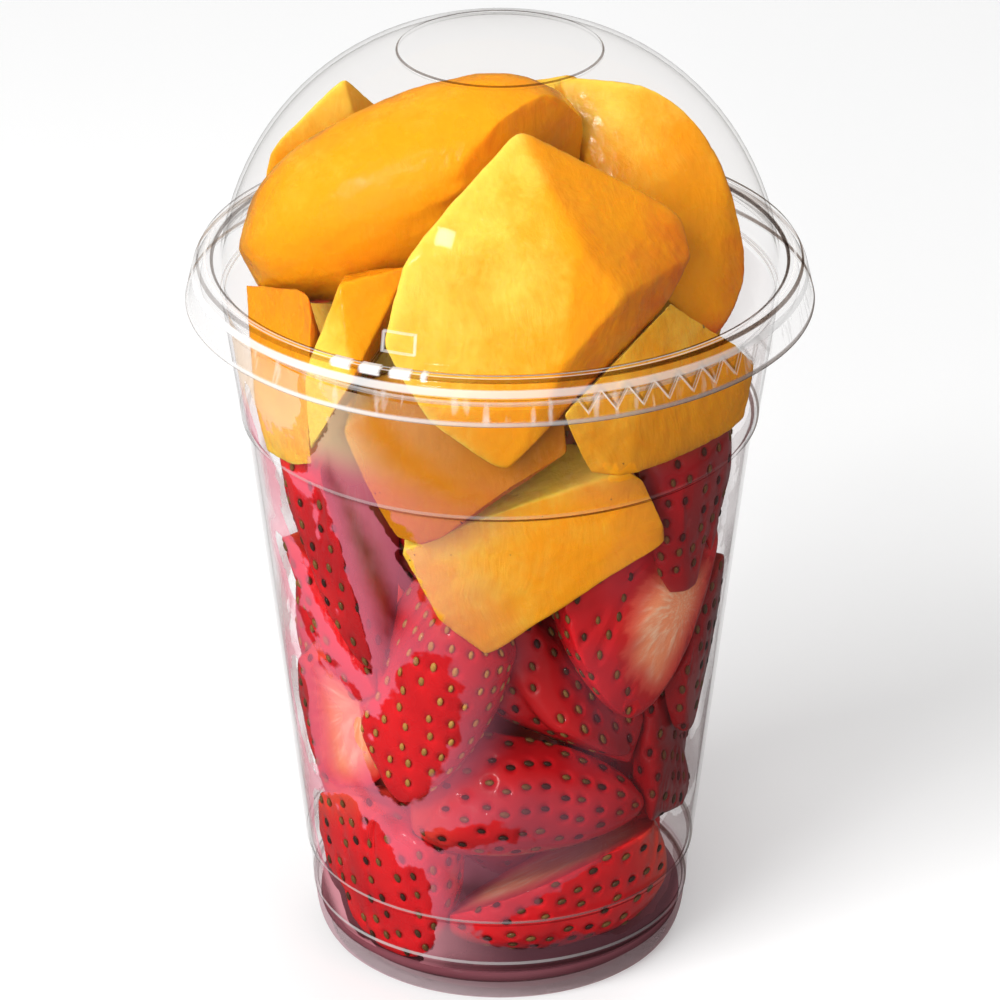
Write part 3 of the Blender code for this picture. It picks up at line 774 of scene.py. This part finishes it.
def make_berry(name, skin, flesh, seeds, seed):
    tip_way, cut_way, gold = BERRIES[name]
    tip = Vector(tip_way).normalized()
    shape = cad_shape(name)
    if cut_way:
        cut = Vector(cut_way)
        cut = (cut - tip * cut.dot(tip)).normalized()
        for face in shape.faces:
            face.material_index = int(face.normal.dot(cut) > 0.985 and face.calc_area() > 12 * MM * MM)
    crease = shape.edges.layers.float.new("crease_edge")
    for edge in shape.edges:
        kinds = {face.material_index for face in edge.link_faces}
        edge[crease] = 0.85 if len(kinds) > 1 else 0.0
    front = int(name[-2:]) <= FRONT_BERRIES
    mesh = subdivided(name, shape, levels_for(shape, 22000 if front else 5000), skin, flesh)
    places, normals = vertex_arrays(mesh)
    if name in PRESSED_FLESH:
        (across, up), half = PRESSED_FLESH[name]
        low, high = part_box(name)
        middle_x = low.x + (high.x - low.x) * across
        middle_z = low.z + (high.z - low.z) * up
        for face in mesh.polygons:
            u = (face.center.x - middle_x) / half[0] / MM
            v = (face.center.z - middle_z) / half[1] / MM
            face.material_index = int(u * u + v * v < 1 and face.normal.y < -0.2)
    if name in FLESH_BESIDE:
        across, up, least = FLESH_BESIDE[name]
        low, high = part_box(name)
        for face in mesh.polygons:
            u = (face.center.x - low.x) / (high.x - low.x)
            v = (face.center.z - low.z) / (high.z - low.z)
            face.material_index = int(face.material_index == 1 and u * across + v * up > least)
    skin_faces = [f.material_index == 0 for f in mesh.polygons]
    spots = seed_places(mesh, places, tip, skin_faces)
    add_seeds(seeds, seed, spots, tip, gold)
    pits = KDTree(max(1, len(spots)))
    for k, (place, _) in enumerate(spots):
        pits.insert(place, k)
    pits.balance()
    depth = np.zeros(len(places))
    for k, point in enumerate(places):
        _, _, far = pits.find(point) if spots else (None, None, 1.0)
        if far < PIT_RADIUS:
            depth[k] = (1 - (far / PIT_RADIUS) ** 2) ** 2
    rim_points = [v for f in mesh.polygons if f.material_index == 0 for v in f.vertices]
    flesh_points = np.array([v for f in mesh.polygons if f.material_index == 1 for v in f.vertices], int)
    skin_set = np.zeros(len(places), bool)
    skin_set[rim_points] = True
    rim = np.zeros(len(places))
    spoke = np.zeros((len(places), 3))
    if len(flesh_points):
        border = KDTree(int(skin_set.sum()))
        for k in np.flatnonzero(skin_set):
            border.insert(places[k], int(k))
        border.balance()
        inner = np.unique(flesh_points)
        for k in inner:
            rim[k] = border.find(places[k])[2]
        middle = places[inner].mean(0) - np.array(tip) * 0.25 * np.ptp(places[inner] @ np.array(tip))
        away = places[inner] - middle
        far = np.linalg.norm(away, axis=1)
        spoke[inner] = away / far[:, None].clip(1e-6) * 7.0 + (far / MM * 0.10)[:, None]
        depth[inner[~skin_set[inner]]] = 0.0
    swell = 0.18 * (0.5 + 0.5 * lumps(places, 6 * MM, int(name[-2:])))
    set_places(mesh, kept_inside(places - normals * (depth * PIT_DEPTH / MM + swell)[:, None] * MM))
    store(mesh, "pit", depth)
    store(mesh, "wet", np.full(len(places), WET.get(name, 0.0)))
    # Painted shade: how light the berry is painted, falling off towards the right on the shaded ones.
    tone = np.full(len(places), BERRY_PAINTED_SHADE.get(name, 1.0))
    if name in SHADED_TOWARD_RIGHT:
        tone = tone - 1.05 * (places[:, 0] - places[:, 0].min()) / np.ptp(places[:, 0])
    store(mesh, "tone", tone)
    reach = places @ np.array(tip)
    store(mesh, "shoulder", 1 - (reach - reach.min()) / np.ptp(reach))
    store(mesh, "rim", rim)
    layer = mesh.attributes.new("spoke", "FLOAT_VECTOR", "POINT")
    layer.data.foreach_set("vector", spoke.astype(np.float32).ravel())
    piece(name + "_fruit", mesh, "strawberry", [name])


def make_fruit():
    seeds = bmesh.new()
    seed = seed_mesh()
    mango = mango_look()
    for name in sorted(n for n in frame["nodes"] if n.startswith("mango")):
        make_mango(name, mango, seeds, seed)
    skin, flesh = berry_skin_look(), berry_flesh_look()
    for name in sorted(BERRIES):
        make_berry(name, skin, flesh, seeds, seed)
    bpy.data.meshes.remove(seed)
    mesh = mesh_of("strawberry_seeds", seeds)
    set_places(mesh, kept_inside(vertex_arrays(mesh)[0]))
    piece("strawberry_seeds", mesh, "strawberry", None, seed_look())


# ---------------------------------------------------------------- the studio


def make_floor():
    shape = bmesh.new()
    bmesh.ops.create_circle(shape, cap_ends=True, segments=96, radius=4.0)
    m = Finish("pale_floor")
    grain = m.noise(m.place(), 3.0, 2.0)
    colour = m.mix(grain, (0.86, 0.86, 0.86), (0.90, 0.90, 0.90))
    look = m.done(m.shader("BsdfPrincipled", Base_Color=colour, Roughness=0.9,
                           Emission_Color=(1.0, 1.0, 1.0), Emission_Strength=0.15))
    mesh = mesh_of("studio_floor", shape)
    mesh.materials.append(look)
    floor = bpy.data.objects.new("studio_floor", mesh)
    bpy.context.scene.collection.objects.link(floor)
    floor.visible_diffuse = False
    floor.visible_glossy = False


def add_lamp(name, place, size, power, mirrored, aim=(0.0, 0.0, 0.07)):
    lamp = bpy.data.lights.new(name, "AREA")
    lamp.shape = "SQUARE"
    lamp.size = size
    lamp.energy = power
    made = bpy.data.objects.new(name, lamp)
    made.location = place
    made.rotation_euler = (Vector(aim) - Vector(place)).to_track_quat("-Z", "Y").to_euler()
    made.visible_glossy = mirrored
    bpy.context.scene.collection.objects.link(made)
    return made


def make_studio():
    world = bpy.data.worlds.new("studio_air")
    world.use_nodes = True
    back = world.node_tree.nodes["Background"]
    back.inputs["Color"].default_value = (1.0, 1.0, 1.0, 1.0)
    back.inputs["Strength"].default_value = 0.16
    bpy.context.scene.world = world
    add_lamp("window_light", (-0.75, -0.6, 0.85), 0.6, 11.0, False)
    add_lamp("front_light", (-0.5, -1.2, 0.40), 0.8, 11.0, False)
    add_lamp("right_light", (0.9, -0.9, 0.45), 0.8, 2.6, False)
    add_lamp("top_light", (0.1, 0.1, 1.2), 0.8, 4.5, False)
    add_lamp("back_light", (0.3, 1.2, 0.6), 1.0, 4.0, False)
    add_lamp("gleam_light", (-0.35, -0.65, 0.75), 0.12, 1.0, True)
    bpy.context.scene.view_settings.view_transform = "Standard"
    bpy.context.scene.cycles.transparent_max_bounces = 24
    bpy.context.scene.cycles.diffuse_bounces = 1
    bpy.context.scene.cycles.glossy_bounces = 1


def make_camera():
    down = math.radians(26.615)
    distance = 0.83846
    aim = 0.0783
    lens = bpy.data.cameras.new("camera")
    lens.sensor_width = 36.0
    lens.lens = 182.34
    camera = bpy.data.objects.new("camera", lens)
    camera.location = (0.0, -distance * math.cos(down), aim + distance * math.sin(down))
    camera.rotation_euler = (math.pi / 2 - down, 0.0, 0.0)
    bpy.context.scene.collection.objects.link(camera)
    bpy.context.scene.camera = camera


make_camera()
make_studio()
make_floor()
make_fruit()
make_cup()
make_lid()
make_juice()
